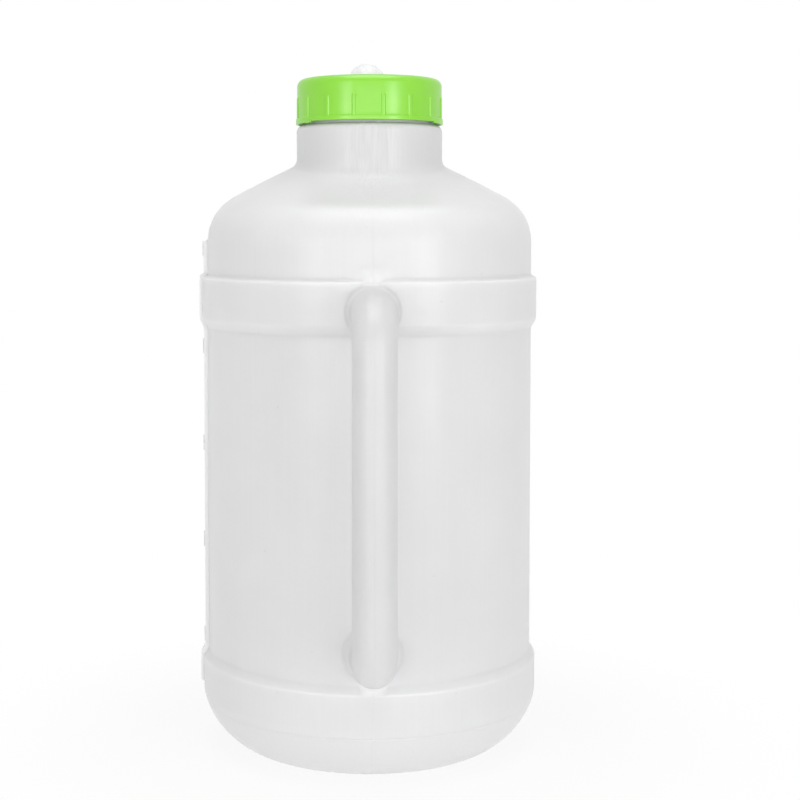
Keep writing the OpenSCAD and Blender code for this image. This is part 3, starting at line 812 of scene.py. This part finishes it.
def green_polypropylene():
    """Lime green polypropylene, injection moulded: opaque, soft gloss, with faint flow tone in the colour
    and a fine spark-eroded texture."""
    material, tree, shader, place = new_material("green_polypropylene_moulded")
    at = (place, "Object")
    flow = add(tree, "ShaderNodeTexNoise", {"Vector": at, "Scale": 1 / 0.02, "Detail": 2.0,
                                            "Distortion": 0.6})
    colour = add(tree, "ShaderNodeMix", {"Factor": (flow, "Fac"), "A": linear("7cca10"),
                                         "B": linear("84d11c")}, data_type="RGBA")
    tree.links.new(colour.outputs["Result"], shader.inputs["Base Color"])
    fine = add(tree, "ShaderNodeTexNoise", {"Vector": at, "Scale": 1 / 0.0006, "Detail": 2.0})
    wide = add(tree, "ShaderNodeTexNoise", {"Vector": at, "Scale": 1 / 0.008, "Detail": 1.0})
    bump = add(tree, "ShaderNodeBump", {"Height": (wide, "Fac"), "Strength": 0.5, "Distance": 0.0001})
    bump = add(tree, "ShaderNodeBump", {"Height": (fine, "Fac"), "Strength": 0.4, "Distance": 0.00003,
                                        "Normal": (bump, "Normal")})
    tree.links.new(bump.outputs["Normal"], shader.inputs["Normal"])
    gloss = add(tree, "ShaderNodeMapRange", {"Value": (wide, "Fac"), "To Min": 0.28, "To Max": 0.34})
    tree.links.new(gloss.outputs["Result"], shader.inputs["Roughness"])
    shader.inputs["IOR"].default_value = 1.49
    shader.inputs["Specular IOR Level"].default_value = 0.95
    shader.inputs["Subsurface Weight"].default_value = 0.12
    shader.inputs["Subsurface Radius"].default_value = (0.6, 1.0, 0.3)
    shader.inputs["Subsurface Scale"].default_value = 0.0015
    return material


def foam():
    """Closed-cell polyethylene foam, die cut: white and matt, with cells of about 0.8 mm."""
    material, tree, shader, place = new_material("white_polyethylene_foam")
    at = (place, "Object")
    cells = add(tree, "ShaderNodeTexVoronoi", {"Vector": at, "Scale": 1 / 0.0008})
    colour = add(tree, "ShaderNodeMix", {"Factor": (cells, "Distance"), "A": linear("eeeeea"),
                                         "B": linear("dcdcd6")}, data_type="RGBA")
    tree.links.new(colour.outputs["Result"], shader.inputs["Base Color"])
    bump = add(tree, "ShaderNodeBump", {"Height": (cells, "Distance"), "Strength": 0.6, "Distance": 0.0001})
    tree.links.new(bump.outputs["Normal"], shader.inputs["Normal"])
    rough = add(tree, "ShaderNodeMapRange", {"Value": (cells, "Distance"), "To Min": 0.7, "To Max": 0.9})
    tree.links.new(rough.outputs["Result"], shader.inputs["Roughness"])
    return material


# Studio

def studio_floor():
    """A wide white floor: near the jug a sixth of what is seen is lit, so it keeps the shadow, and further
    out it is plain white. As light on the jug it is two thirds white glow and one third the lit paper."""
    half = 6.0
    mesh = bpy.data.meshes.new("studio_floor")
    corners = [(-half, -half, 0), (half, -half, 0), (half, half, 0), (-half, half, 0)]
    mesh.from_pydata(corners, [], [(0, 1, 2, 3)])
    floor = bpy.data.objects.new("studio_floor", mesh)
    bpy.context.scene.collection.objects.link(floor)
    material, tree, shader, place = new_material("white_paper_floor")
    shader.inputs["Base Color"].default_value = linear("f4f4f4")
    shader.inputs["Roughness"].default_value = 0.9
    length = add(tree, "ShaderNodeVectorMath", {0: (place, "Object")}, operation="LENGTH")
    far = add(tree, "ShaderNodeMapRange", {"Value": (length, "Value"), "From Min": 0.10, "From Max": 0.28,
                                           "To Min": 0.84, "To Max": 1.0}, interpolation_type="SMOOTHSTEP")
    path = add(tree, "ShaderNodeLightPath")
    seen = add(tree, "ShaderNodeMath", {0: (path, "Is Camera Ray"), 1: (path, "Is Glossy Ray")},
               operation="MAXIMUM")
    seen = add(tree, "ShaderNodeMath", {0: (seen, 0), 1: (path, "Is Transmission Ray")}, operation="MAXIMUM")
    share = add(tree, "ShaderNodeMix", {"Factor": (seen, 0), "A": 0.68, "B": (far, "Result")})
    white = add(tree, "ShaderNodeEmission", {"Color": (1, 1, 1, 1), "Strength": 1.0})
    mixed = add(tree, "ShaderNodeMixShader", {0: (share, "Result"), 1: (shader, 0), 2: (white, 0)})
    tree.links.new(mixed.outputs[0], tree.nodes["Material Output"].inputs["Surface"])
    mesh.materials.append(material)


def studio_world():
    """A white surround: strength 1 to the camera and in gloss and glass, softer as light on the jug."""
    world = bpy.data.worlds.new("studio")
    world.use_nodes = True
    bpy.context.scene.world = world
    tree = world.node_tree
    path = add(tree, "ShaderNodeLightPath")
    seen = add(tree, "ShaderNodeMath", {0: (path, "Is Camera Ray"), 1: (path, "Is Glossy Ray")},
               operation="MAXIMUM")
    seen = add(tree, "ShaderNodeMath", {0: (seen, 0), 1: (path, "Is Transmission Ray")}, operation="MAXIMUM")
    strength = add(tree, "ShaderNodeMapRange", {"Value": (seen, 0), "To Min": 0.55, "To Max": 1.0})
    background = tree.nodes["Background"]
    background.inputs["Color"].default_value = (1, 1, 1, 1)
    tree.links.new(strength.outputs["Result"], background.inputs["Strength"])


def softbox(name, azimuth, distance, height, size, power, aim=(0.0, 0.0, 0.22)):
    """A rectangular area light that faces the jug. azimuth is in degrees from the camera's side, -Y."""
    data = bpy.data.lights.new(name, "AREA")
    data.shape = "RECTANGLE"
    data.size, data.size_y = size
    data.energy = power
    lamp = bpy.data.objects.new(name, data)
    a = math.radians(azimuth)
    spot = np.array([distance * math.sin(a), -distance * math.cos(a), height])
    lamp.location = spot
    look = np.array(aim) - spot
    lamp.rotation_euler = (math.atan2(math.hypot(look[0], look[1]), -look[2]), 0,
                           math.atan2(-look[0], look[1]))
    bpy.context.scene.collection.objects.link(lamp)


def photo_camera():
    """The photograph's camera: 927 mm from the jug's axis and 294 mm up, tipped down 3 degrees, 73.6 mm
    lens on 36 mm. The shift puts the jug where the photograph has it."""
    distance, height = 0.927, 0.2939
    azimuth, pitch = math.radians(-1.15), math.radians(2.97)
    data = bpy.data.cameras.new("photo_camera")
    data.sensor_width = 36.0
    data.sensor_fit = "HORIZONTAL"
    data.lens = 73.6
    data.shift_x = 0.0382
    data.shift_y = -0.115
    data.clip_end = 50.0
    camera = bpy.data.objects.new("photo_camera", data)
    camera.location = (distance * math.sin(azimuth), -distance * math.cos(azimuth), height)
    camera.rotation_euler = (RIGHT_ANGLE - pitch, 0, azimuth)
    bpy.context.scene.collection.objects.link(camera)
    bpy.context.scene.camera = camera


photo_camera()
studio_floor()
studio_world()
softbox("softbox_left", -36, 1.5, 0.28, (0.3, 0.56), 3.2)
softbox("softbox_right", 36, 1.5, 0.28, (0.3, 0.56), 4.2)
softbox("front_fill", 0, 2.0, 0.2, (1.6, 0.4), 7.8)
softbox("overhead", 0, 0.15, 1.6, (1.2, 1.2), 9.0)

scene = bpy.context.scene
scene.view_settings.view_transform = "Standard"

hdpe = natural_hdpe()
for name, parts, body, node, slot, finish in (
        ("blown_jug", jug_parts(), "jug", "jug_body", "natural_hdpe", hdpe),
        ("gauge_relief", gauge_parts(), "jug", None, "natural_hdpe", hdpe),
        ("ribbed_screw_cap", cap_parts(), "cap", "screw_cap", "green_cap", green_polypropylene()),
        ("foam_seal_disc", seal_parts(), "seal", "cap_seal", "foam_seal", foam())):
    piece = make_mesh(name, parts)
    piece.data.materials.append(finish)
    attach(piece, body)
    if node:
        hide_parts(node)
